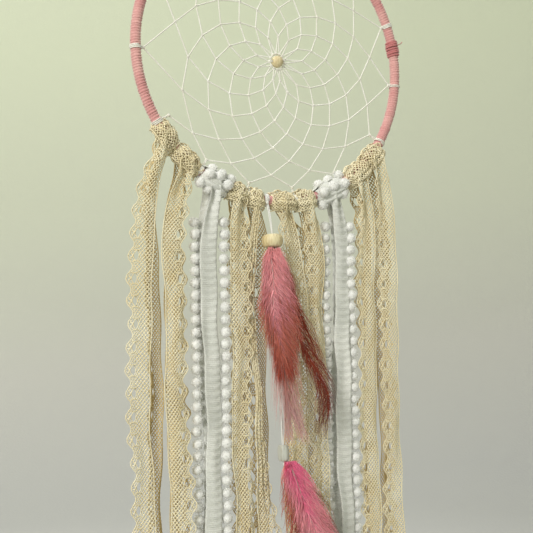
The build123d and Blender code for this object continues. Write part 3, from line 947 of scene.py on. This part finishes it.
def make_lace_knot(number, angle, half_width):
    """A lark's head of lace: pleated turns over the rod and a bar across their front."""
    seed = 10 * number
    half_length = HOOP_RADIUS * radians(half_width) + 0.6
    knot = Mesh()
    for layer, (reach, slant) in enumerate(((5.0, 1.5), (6.3, -2.0))):
        rows = int(2 * pi * reach * 1.02 / LACE_ROW)
        wrap = wrap_surface(angle, half_length - 0.8 * layer, reach, LACE_WIDTH, 2.2, seed + layer, slant)
        add_lace(knot, wrap, LACE_COLUMNS, rows, layer == 1, (-1) ** number, seed + layer)
    rows = int(2 * BAR_HALF_TURN * (half_length + 2.2) / LACE_ROW)
    bar = bar_surface(angle, half_length, 3.0, 7.6, LACE_PITCH * 4, seed + 5)
    add_lace(knot, bar, 4, rows, False, 1, seed + 5)
    knot.piece(f"lace_knot_wrap_{number}", LACE, "hoop", [f"lace_knot_{number}"], "lace_ecru")


# ---- the pompom trims ----
POM_RADIUS = 3.5
POM_PITCH = 7.8
POM_GAP = 0.2
POM_TOP = -112.0
POM_DEPTH = 2.2
POM_CORE = 3.3
POM_FIBRES = 520
POM_FIBRE_ROOT = 2.8
POM_FIBRE_LENGTHS = (3.5, 3.95)
POM_FIBRE_WIDTH = 0.13
BUNCH_POMS = 9
BUNCH_REACH = 7.0
TAPE_WIDTH = 11.4
TAPE_GATHER = 4.7
TAPE_RIB = 1.2
TAPE_HEIGHT = 0.34
TAPE_EDGE_HEIGHT = 0.12


def pom_template(rng):
    """A ball of cut yarn: a lumpy core with short fibres standing out of it."""
    rows, sides = 11, 16
    polar = np.linspace(0.0, pi, rows)[:, None]
    around = (np.arange(sides) * 2 * pi / sides)[None, :]
    lump = POM_CORE + 0.24 * np.sin(5 * polar + 3 * around) * np.sin(polar) \
        + 0.16 * np.cos(4 * around - 6 * polar) * np.sin(polar)
    x = lump * np.sin(polar) * np.cos(around)
    y = lump * np.sin(polar) * np.sin(around)
    z = lump * np.cos(polar) * np.ones_like(around)
    core = np.stack([x, y, z], axis=-1).reshape(-1, 3)
    way = unit(rng.normal(0, 1, (POM_FIBRES, 3)))
    cross = unit(np.cross(way, rng.normal(0, 1, (POM_FIBRES, 3)))) * POM_FIBRE_WIDTH
    bend = 0.35 * rng.normal(0, 1, (POM_FIBRES, 3))
    root = way * POM_FIBRE_ROOT
    tip = way * rng.uniform(*POM_FIBRE_LENGTHS, (POM_FIBRES, 1)) + bend
    blades = np.stack([root - cross, root + cross, tip + 0.4 * cross, tip - 0.4 * cross], axis=1)
    points = np.concatenate([core, blades.reshape(-1, 3)])
    faces = len(core) + np.arange(4 * POM_FIBRES).reshape(-1, 4)
    return points, [grid_faces(rows, sides, True), faces]


def add_pom(mesh, template, place, rng):
    """One pompom, turned at random so that no two look alike."""
    points, faces = template
    turn = np.array(Matrix.Rotation(rng.uniform(0, 2 * pi), 3, Vector(rng.normal(0, 1, 3))))
    squash = np.array([1.0, 1.0, rng.uniform(0.92, 1.02)])
    mesh.add((points @ turn.T) * squash + place, faces, closed=False)


def edge_at(stations, height, side):
    """The x of a strip's left (-1) or right (1) edge at a height."""
    for (x0, width0, high), (x1, width1, low) in zip(stations, stations[1:]):
        if low <= height <= high:
            share = (high - height) / (high - low)
            return x0 + share * (x1 - x0) + side * (width0 + share * (width1 - width0)) / 2
    raise ValueError("height is off the strip")


def make_pom_row(number, stations, facing, side, name, templates):
    """The pompoms along one edge of a strip."""
    rng = np.random.default_rng(40 * number + side)
    outermost = max if side > 0 else min
    row = Mesh()
    height = POM_TOP
    while height - POM_RADIUS > stations[-1][2]:
        nearby = [edge_at(stations, height + step, side) for step in (-POM_RADIUS, 0, POM_RADIUS)]
        x = outermost(nearby) + side * (POM_RADIUS + POM_GAP) + rng.normal(0, 0.25)
        place = np.array([x, -POM_DEPTH * facing + rng.normal(0, 0.3), HOOP_Z + height])
        add_pom(row, templates[rng.integers(len(templates))], place, rng)
        height -= POM_PITCH
    row.piece(name.replace("row", "line"), POM, f"strip_{number}", [name], "pompom_white")


def tape_cloth(width, length, columns=14, row_step=0.3):
    """A thin closed tape as flat points, like lace_net."""
    rows = int(length / row_step) + 1
    across = np.linspace(-width / 2, width / 2, columns)
    down = np.linspace(0, length, rows)
    grid_across, grid_down = np.meshgrid(across, down)
    count = rows * columns
    rim = np.ones((rows, columns), bool)
    rim[1:-1, 1:-1] = False
    lift = np.where(rim, TAPE_EDGE_HEIGHT, TAPE_HEIGHT).ravel()
    face = grid_faces(rows, columns, False)
    index = np.arange(count).reshape(rows, columns)
    loop = np.concatenate([index[0, :-1], index[:-1, -1], index[-1, :0:-1], index[:0:-1, 0]])
    after = np.roll(loop, -1)
    wall = np.stack([loop, after, after + count, loop + count], axis=1)
    faces = [face, face[:, ::-1] + count, wall[:, ::-1]]
    return (np.tile(grid_across.ravel(), 2), np.tile(grid_down.ravel(), 2),
            np.concatenate([lift, -lift]), np.concatenate(faces))


def gathers(across, down):
    """The soft cross ribs of the gathered tape."""
    rib = 0.16 * np.cos(2 * pi * (down + 0.05 * across ** 2) / TAPE_GATHER)
    return rib + 0.11 * np.cos(2 * pi * down / TAPE_RIB)


def make_tape_tail(number, angle, place, stations, facing):
    """One hanging tail of a pompom trim: its gathered white tape."""
    seed = 100 * number + facing + 1
    surface, length = tail_surface(angle, stations, facing, TAPE_WIDTH, 1.0, seed)
    across, down, lift, faces = tape_cloth(TAPE_WIDTH, length)
    tape = Mesh()
    tape.add(place_on(surface, across, down, lift + gathers(across, down)), [faces])
    name = f"tape_{number}_{place}"
    piece = tape.piece(name, TAPE, None, [f"pompom_tail_{number}_{place}"], "tape_white")
    blend_tail(piece, angle)


def make_pompom_knot(number, angle, half_width):
    """The white tape's knot: two pleated turns over the rod and a bar across their front."""
    half_length = HOOP_RADIUS * radians(half_width)
    knot = Mesh()
    for layer, (reach, slant) in enumerate(((4.9, 2.0), (6.2, -2.5))):
        wrap = wrap_surface(angle, half_length - 1.2 * layer, reach, TAPE_WIDTH, 2.5,
                            7 * number + layer, slant)
        across, down, lift, faces = tape_cloth(TAPE_WIDTH, 2 * pi * reach)
        knot.add(place_on(wrap, across, down, lift + 0.5 * gathers(across, down)), [faces])
    bar = bar_surface(angle, half_length - 1.0, 3.2, 7.0, TAPE_WIDTH, 9 * number)
    across, down, lift, faces = tape_cloth(TAPE_WIDTH, 2 * BAR_HALF_TURN * (half_length + 1.2))
    knot.add(place_on(bar, across, down, lift), [faces])
    knot.piece(f"pompom_knot_wrap_{number}", TAPE, "hoop", [f"pompom_knot_{number}"], "tape_white")


def make_pompom_bunch(number, angle, half_width, templates):
    """The pompoms that bunch round a tape's knot."""
    rng = np.random.default_rng(70 + number)
    half_length = HOOP_RADIUS * radians(half_width)
    bunch = Mesh()
    for index in range(BUNCH_POMS):
        along = (index / (BUNCH_POMS - 1) - 0.5) * 2 * (half_length - 1.5)
        around = radians(-150 + 75 * (index % 3) + rng.uniform(-15, 15))
        outward, rear = -BUNCH_REACH * cos(around), BUNCH_REACH * sin(around)
        place = on_rod(radians(angle), outward, rear, along)
        add_pom(bunch, templates[index % len(templates)], place, rng)
    bunch.piece(f"pompom_bunch_{number}", POM, "hoop", (), "pompom_white")


# ---- the pendant ----
# The cord's bend and its end, and the directions right of the cord, down it and forward of it.
PENDANT_X = -8.7
BEND = np.array([PENDANT_X, -10.1, HOOP_Z - 114.0])
PENDANT_END = np.array([PENDANT_X, -21.6, HOOP_Z - 266.4])
DOWN = unit(PENDANT_END - BEND)
RIGHT = np.array([1.0, 0.0, 0.0])
FORWARD = np.cross(RIGHT, -DOWN)
# Each bead: its radius, its ends' radius and its height, and how far down from the bend it is.
UPPER_BEAD_DOWN = 10.0
UPPER_BEAD = (6.9, 4.4, 8.4)
LOWER_BEAD_DOWN = 145.0
LOWER_BEAD = (3.6, 2.55, 10.0)
BEAD_BORE = 2.1
THREAD_STRAND = 0.46
THREAD_PLY_PITCH = 2.6
STRAND_OFFSET = 0.42
STRAND_TURN_RUN = 75.0
# The shaft starts inside the bead, comes out to its own line, and soon stands furthest forward.
QUILL_TOP = -3.4
QUILL_RUN = 9
FURTHEST_FORWARD = 9
BARB_STEPS = np.linspace(0, 1, 8)

CORAL = tint(253, 158, 162)
ROSE = tint(249, 168, 175)
MAUVE = tint(214, 132, 142)
SALMON = tint(190, 106, 88)
BRICK = tint(168, 74, 58)
RUST = tint(132, 52, 28)
WINE = tint(92, 22, 12)
BLUSH = tint(206, 160, 158)
HOT = tint(240, 112, 150)

# Each feather: name, quill's x in the bore, forward of the cord, where the shaft runs between the
# edges, barbs (a side, shortest, longest, half width), colours from root to tip, and stations
# (left x, right x, down from the bead).
UPPER_FEATHERS = [
    ("upper_feather_front", 0.0, 2.9, 0.37, (1000, 12, 26, 0.15),
     (CORAL, CORAL, ROSE, MAUVE, SALMON, SALMON, BRICK),
     [(-5.4, 5.2, 0.3), (-8.8, 7.6, 6), (-10.4, 11, 22), (-13.8, 14.5, 36), (-14, 17, 50),
      (-10, 17, 62), (-6, 14, 74), (-3, 10, 86)]),
    ("upper_feather_middle", -1.25, 1.5, 0.50, (340, 34, 66, 0.10),
     (MAUVE, BRICK, SALMON, BLUSH, BLUSH),
     [(-4, 4, 3), (-9, 9, 25), (-10, 13, 55), (-9, 15, 85), (-6, 17, 108), (1, 16, 124)]),
    ("upper_feather_rear", 1.2, -1.6, 0.55, (260, 20, 40, 0.13),
     (BRICK, RUST, RUST, WINE),
     [(-1, 5, 4), (2, 14, 12), (5, 18, 28), (6, 22, 48), (10, 28, 66), (18, 37, 80),
      (27, 43, 96), (29, 42, 106), (23, 33, 122)]),
]
LOWER_FEATHERS = [
    ("lower_feather_front", 0.0, 2.9, 0.45, (1000, 12, 26, 0.15),
     (HOT, HOT, ROSE, MAUVE, BRICK),
     [(-2, 8, 0.5), (-3, 15, 9), (-1.5, 20, 18), (2, 25, 30), (6, 33, 46), (10, 39, 64),
      (14, 39, 80), (20, 33, 96)]),
    ("lower_feather_middle", -1.25, 1.5, 0.42, (520, 16, 34, 0.14),
     (CORAL, SALMON, BRICK, RUST),
     [(-2, 10, 3), (-4, 18, 18), (-4, 24, 30), (-2, 30, 50), (2, 34, 72), (8, 28, 96)]),
    ("lower_feather_rear", 1.2, -1.6, 0.55, (480, 16, 34, 0.14),
     (BRICK, RUST, BRICK, WINE),
     [(0, 10, 4), (2, 22, 20), (4, 34, 40), (10, 42, 60), (18, 42, 80), (24, 34, 100)]),
]


def from_cord(foot, x, down, forward):
    """Points given from a place on the cord: to the right, down the cord and forward."""
    return (foot + np.multiply.outer(np.asarray(x, float), RIGHT)
            + np.multiply.outer(np.asarray(down, float), DOWN)
            + np.multiply.outer(np.asarray(forward, float), FORWARD))


def feather_shape(stations, share):
    """The vane's two edges and its shaft, as smooth functions of the distance down."""
    downs = [drop for _, _, drop in stations]

    def edge(side, down):
        values = [left if side < 0 else right for left, right, _ in stations]
        return glide(downs, values, np.clip(down, downs[0], downs[-1]))

    def shaft(down):
        low, high = edge(-1, down), edge(1, down)
        return low + share * (high - low)

    return edge, shaft, downs[-1]


def barb_colours(colours, place, along, rng):
    """Colours from the feather's root to its tips, a little different from barb to barb, and brightened
    at random, partly as painted highlight.
    """
    colours = np.array(colours)
    value = np.clip(0.75 * place + 0.55 * along ** 1.5 + rng.normal(0, 0.07, place.shape), 0, 1)
    stops = np.linspace(0, 1, len(colours))
    mixed = np.stack([np.interp(value, stops, colours[:, k]) for k in range(3)], axis=-1)
    # A random brightness from point to point: partly the feather's own uneven tone, partly painted
    # highlight where the fringe would catch the light.
    return np.clip(mixed * rng.uniform(0.85, 1.3, place.shape)[..., None], 0, 1)


def barb_ends(feather, side, rng):
    """One side's barbs: their places down the vane, and their roots and tips as x and down."""
    _, _, _, share, (count, shortest, longest, _), _, stations = feather
    edge, shaft, end = feather_shape(stations, share)
    place = rng.uniform(0, 1, count) ** 1.2
    root_down = 0.2 + place * 0.86 * end
    length = rng.uniform(shortest, longest, count)
    length *= 0.5 + 0.5 * np.minimum(1, (root_down + 4) / 24)
    tip_down = np.minimum(root_down + length, end + rng.uniform(-3, 4, count))
    inwards = edge(side, root_down) - shaft(root_down)
    root_x = shaft(root_down) + rng.uniform(0, 0.9, count) * inwards * np.exp(-root_down / 6)
    spread = rng.uniform(0.05, 1.04, count) ** 0.55
    tip_x = shaft(tip_down) + (edge(side, tip_down) - shaft(tip_down)) * spread
    tip_x += rng.normal(0, 0.9, count)
    return place, (root_x, root_down), (tip_x, tip_down)


def bent(start, knee, end):
    """Curves from starts to ends, drawn towards their knees, at each step along a barb."""
    one, two, three = (1 - BARB_STEPS) ** 2, 2 * BARB_STEPS * (1 - BARB_STEPS), BARB_STEPS ** 2
    return np.outer(start, one) + np.outer(knee, two) + np.outer(end, three)


def barb_curves(root, tip, forward, rng):
    """The barbs' middle lines, rippled and curled: their x, down and forward at each step."""
    (root_x, root_down), (tip_x, tip_down) = root, tip
    count = len(root_x)
    knee_x = root_x + rng.uniform(0.35, 0.95, count) * (tip_x - root_x)
    knee_down = root_down + rng.uniform(0.30, 0.60, count) * (tip_down - root_down)
    lay = forward + rng.normal(0, 0.5, count)
    curl = rng.normal(0, 1.1, count) + 0.3
    bends = rng.uniform(4, 11, count)[:, None]
    ripple = 0.4 * np.sin(bends * BARB_STEPS + rng.uniform(0, 6, count)[:, None])
    ahead = lay[:, None] + np.outer(curl, BARB_STEPS ** 2) + ripple
    x = bent(root_x, knee_x, tip_x) + ripple * BARB_STEPS
    return x, bent(root_down, knee_down, tip_down), ahead


def barb_blades(foot, x, down, ahead, half_width, rng):
    """Flat tapered blades along the barbs' middle lines, as points and faces."""
    slope_x, slope_down = np.gradient(x, axis=1), np.gradient(down, axis=1)
    size = np.hypot(slope_x, slope_down)
    width = half_width * rng.uniform(0.7, 1.3, len(x))[:, None] * (1.08 - BARB_STEPS) ** 0.7
    over_x, over_down = -slope_down / size * width, slope_x / size * width
    roll = rng.normal(0, 0.7, len(x))[:, None] * width
    first = from_cord(foot, x + over_x, down + over_down, ahead + roll)
    second = from_cord(foot, x - over_x, down - over_down, ahead - roll)
    row = np.arange(x.size).reshape(x.shape)[:, :-1].ravel() * 2
    faces = np.stack([row, row + 1, row + 3, row + 2], axis=1)
    return np.stack([first, second], axis=2).reshape(-1, 3), [faces]


def add_barbs(mesh, foot, feather, seed):
    """Both sides' barbs: curved, tapered blades from the shaft out past the vane's edge."""
    _, _, forward, _, (_, _, _, half_width), colours, _ = feather
    rng = np.random.default_rng(seed)
    for side in (-1, 1):
        place, root, tip = barb_ends(feather, side, rng)
        x, down, ahead = barb_curves(root, tip, forward, rng)
        points, faces = barb_blades(foot, x, down, ahead, half_width, rng)
        places, along = np.broadcast_arrays(place[:, None], BARB_STEPS)
        shade = barb_colours(colours, places, along, rng)
        mesh.add(points, faces, np.repeat(shade.reshape(-1, 3), 2, axis=0), closed=False)


def add_shaft(mesh, foot, feather):
    """The feather's shaft, from inside the bead to near its tip."""
    _, quill_x, forward, share, _, _, stations = feather
    _, shaft, end = feather_shape(stations, share)
    down = np.linspace(QUILL_TOP, 0.9 * end, 60)
    inside = np.clip(1 - (down - QUILL_TOP) / QUILL_RUN, 0, 1)
    x = quill_x * inside + shaft(np.maximum(down, 2)) * (1 - inside)
    ahead = np.interp(down, [QUILL_TOP, FURTHEST_FORWARD, end],
                      [0.4 * forward, forward + 0.6, forward + 0.5])
    line = from_cord(foot, x, down, ahead)
    points, faces = tube(line, np.linspace(0.48, 0.10, len(down)), 6)
    mesh.add(points, faces, np.tile(BLUSH, (len(points), 1)))


def make_feather(foot, feather, body, slot, seed):
    """One feather, with its quill in the bead."""
    name = feather[0]
    mesh = Mesh()
    add_shaft(mesh, foot, feather)
    add_barbs(mesh, foot, feather, seed)
    mesh.piece(name.replace("feather", "plume"), FEATHER, body, [name], slot)


def make_bead(name, down, size, material, body, slot):
    """A turned bead on the pendant's cord."""
    bead = Mesh()
    outline = rounded_bead(*size, BEAD_BORE)
    bead.add(*lathe(outline, BEND + DOWN * down, -DOWN))
    return bead.piece(name.replace("bead", "wooden_bead"), material, body, [name], slot)


def make_threads(line):
    """The doubled thread: two twisted strands that slowly turn round each other."""
    _, side, up = frames_along(line)
    turn = (2 * pi * run_along(line) / STRAND_TURN_RUN)[:, None]
    apart = STRAND_OFFSET * (np.cos(turn) * side + np.sin(turn) * up)
    threads = Mesh()
    for strand in (-1, 1):
        threads.add(*twisted(line + strand * apart, THREAD_STRAND, THREAD_PLY_PITCH))
    return threads.piece("pendant_threads", WHITE_THREAD, "pendant", ["pendant_cord"], "thread_cream")


def make_tie():
    """The thread's ties round the rod, and the small knot at their front."""
    tie = Mesh()
    angle = radians(-90) + atan2(PENDANT_X, HOOP_RADIUS)
    tangent = (-sin(angle), 0.0, cos(angle))
    for shift in (0.0, 0.5):
        reach = ROD_RADIUS + 0.45 + shift * 0.6
        band = coil(on_rod(angle, 0.0, 0.0, shift), tangent, reach, 0.9, 2.2, shift)
        tie.add(*twisted(band, 0.42, THREAD_PLY_PITCH))
    knot = coil(on_rod(angle, 2.6, -4.4), (1.0, 0.0, 0.2), 0.85, 0.8, 2.2)
    tie.add(*twisted(knot, 0.45, THREAD_PLY_PITCH))
    tie.piece("pendant_tie", WHITE_THREAD, "pendant_hitch", ["pendant_hitch"], "thread_cream")


def make_pendant():
    """The doubled thread with its two beads and six feathers."""
    route = route_line(PENDANT_ROUTE)
    cord_piece = make_threads(resample(route / MM, 0.6))
    make_tie()
    upper = make_bead("upper_bead", UPPER_BEAD_DOWN, UPPER_BEAD, BEAD_WOOD, "upper_drop", "bead_wood")
    lower = make_bead("lower_bead", LOWER_BEAD_DOWN, LOWER_BEAD, BEAD_PALE, "lower_drop", "bead_pale")
    upper_foot = BEND + DOWN * (UPPER_BEAD_DOWN + UPPER_BEAD[2] / 2)
    lower_foot = BEND + DOWN * (LOWER_BEAD_DOWN + LOWER_BEAD[2] / 2)
    for index, slot in enumerate(["feather_pink", "feather_dusty", "feather_dark"]):
        make_feather(upper_foot, UPPER_FEATHERS[index], "upper_drop", slot, 31 + index)
        make_feather(lower_foot, LOWER_FEATHERS[index], "lower_drop", slot, 51 + index)


# ---- the stage, in metres ----
FLOOR_Z = -0.80
WALL_TOP = 1.7
WALL_REACH = 2.7
WALL_CURVE = 0.9
CURVE_STEPS = 12
WALL_SIDES = 96
# The backdrop's tones, by a value that is 0.25 at the origin and falls with height: pale sage high up,
# and painted shade lower down and a little to the right, where the ramp turns darker and greyer.
TONE_AND_SHADE_SLOPE = (0.02, 0.0, -0.30)
TONE_AT_ORIGIN = 0.25
BACKDROP_TONES_AND_SHADE = [(0.08, tint(207, 212, 188)), (0.25, tint(204, 207, 189)), (0.40, tint(192, 191, 184)),
         (0.5, tint(178, 178, 176))]
MIDDLE = (0.0, 0.0, -0.32)
# Each light: name, place, the point it is aimed at, size, power in watts, colour.
LIGHTS = [
    ("key", (-1.8, -1.3, 0.6), MIDDLE, 0.8, 38.0, (1.0, 0.98, 0.96)),
    ("fill", (1.6, -1.5, -0.1), MIDDLE, 1.6, 0.5, (1.0, 0.96, 0.92)),
    ("rear", (0.8, 1.5, 0.9), MIDDLE, 1.2, 10.0, (1.0, 0.99, 0.97)),
    ("wash", (-0.2, 0.6, 1.6), (-0.1, 2.2, 0.3), 1.6, 38.0, (1.0, 1.0, 0.98)),
    ("front wash", (0.0, -0.7, 1.6), (0.0, -2.3, -0.3), 1.6, 16.0, (1.0, 1.0, 0.97)),
]
WORLD_COLOUR = (0.86, 0.87, 0.87, 1)
WORLD_STRENGTH = 0.30


def add_light(name, place, target, size, power, colour):
    """A soft square light aimed at a point."""
    data = bpy.data.lights.new(name, "AREA")
    data.size = size
    data.energy = power
    data.color = colour
    light = bpy.data.objects.new(name, data)
    light.location = place
    aim = Vector(target) - Vector(place)
    light.rotation_euler = aim.to_track_quat("-Z", "Y").to_euler()
    bpy.context.scene.collection.objects.link(light)


def backdrop_mesh():
    """A round floor that curves up into a wall, its faces turned inwards."""
    profile = [(0.02, FLOOR_Z)]
    for step in range(CURVE_STEPS + 1):
        angle = step / CURVE_STEPS * pi / 2
        profile.append((WALL_REACH - WALL_CURVE + WALL_CURVE * sin(angle),
                        FLOOR_Z + WALL_CURVE - WALL_CURVE * cos(angle)))
    profile.append((WALL_REACH, WALL_TOP))
    around = np.arange(WALL_SIDES) * 2 * pi / WALL_SIDES
    points = [(radius * cos(turn), radius * sin(turn), z) for radius, z in profile for turn in around]
    faces = grid_faces(len(profile), WALL_SIDES, True)[:, ::-1].tolist() + [list(range(WALL_SIDES))]
    mesh = bpy.data.meshes.new("backdrop")
    mesh.from_pydata(points, [], faces)
    mesh.polygons.foreach_set("use_smooth", np.ones(len(faces), bool))
    return mesh


def backdrop_material():
    """Matt paper, a little greener towards its top, with painted shade that darkens and greys it lower
    down and a little to the right.
    """
    nodes = Nodes("backdrop", 0.95, 0.0, 0.1)
    fall = nodes.add("ShaderNodeVectorMath", operation="DOT_PRODUCT")
    fall.inputs[1].default_value = TONE_AND_SHADE_SLOPE
    nodes.link(nodes.place, fall.inputs[0])
    shift = nodes.add("ShaderNodeMath", operation="ADD")
    shift.inputs[1].default_value = TONE_AT_ORIGIN
    nodes.link(fall.outputs["Value"], shift.inputs[0])
    # The ramp's darker, greyer end lower down and to the right is painted shade.
    nodes.colour(nodes.ramp(shift.outputs["Value"], BACKDROP_TONES_AND_SHADE))
    nodes.bump(nodes.noise(140.0), 0.0006)
    return nodes.material


def make_stage():
    """The pale backdrop well away from the object, the soft lights and the world's light."""
    mesh = backdrop_mesh()
    mesh.materials.append(backdrop_material())
    backdrop = bpy.data.objects.new("backdrop", mesh)
    bpy.context.scene.collection.objects.link(backdrop)
    for light in LIGHTS:
        add_light(*light)
    world = bpy.data.worlds.new("world")
    world.use_nodes = True
    background = world.node_tree.nodes["Background"]
    background.inputs["Color"].default_value = WORLD_COLOUR
    background.inputs["Strength"].default_value = WORLD_STRENGTH
    bpy.context.scene.world = world
    bpy.context.scene.view_settings.view_transform = "Standard"


# ---- everything ----
def make_trims():
    """All ten strips: their knots and both tails of each."""
    rng = np.random.default_rng(3)
    templates = [pom_template(rng) for _ in range(4)]
    for number, kind, angle, half_width in KNOTS:
        front, rear = FRONT_TAILS[number], REAR_TAILS[number]
        if kind == "lace":
            front_side, rear_side = OVAL_SIDES[number]
            make_lace_knot(number, angle, half_width)
            make_lace_tail(number, angle, "front", front, 1, front_side)
            make_lace_tail(number, angle, "rear", rear, -1, rear_side)
        else:
            make_pompom_knot(number, angle, half_width)
            make_pompom_bunch(number, angle, half_width, templates)
            make_tape_tail(number, angle, "front", front, 1)
            make_tape_tail(number, angle, "rear", rear, -1)
            make_pom_row(number, front, 1, 1, f"pompom_row_{number}_right", templates)
            make_pom_row(number, rear, -1, -1, f"pompom_row_{number}_left", templates)


def finish_core():
    """The bare ring inside the yarn keeps its CAD shape and gets its metal."""
    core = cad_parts["hoop_core"]
    core.data.materials.clear()
    core.data.materials.append(METAL)


make_camera()
make_hanging_loop()
make_pendant()
make_loop_knot()
make_top_hitch()
make_hoop()
make_splice()
make_web()
make_web_bead()
make_trims()
finish_core()
make_stage()
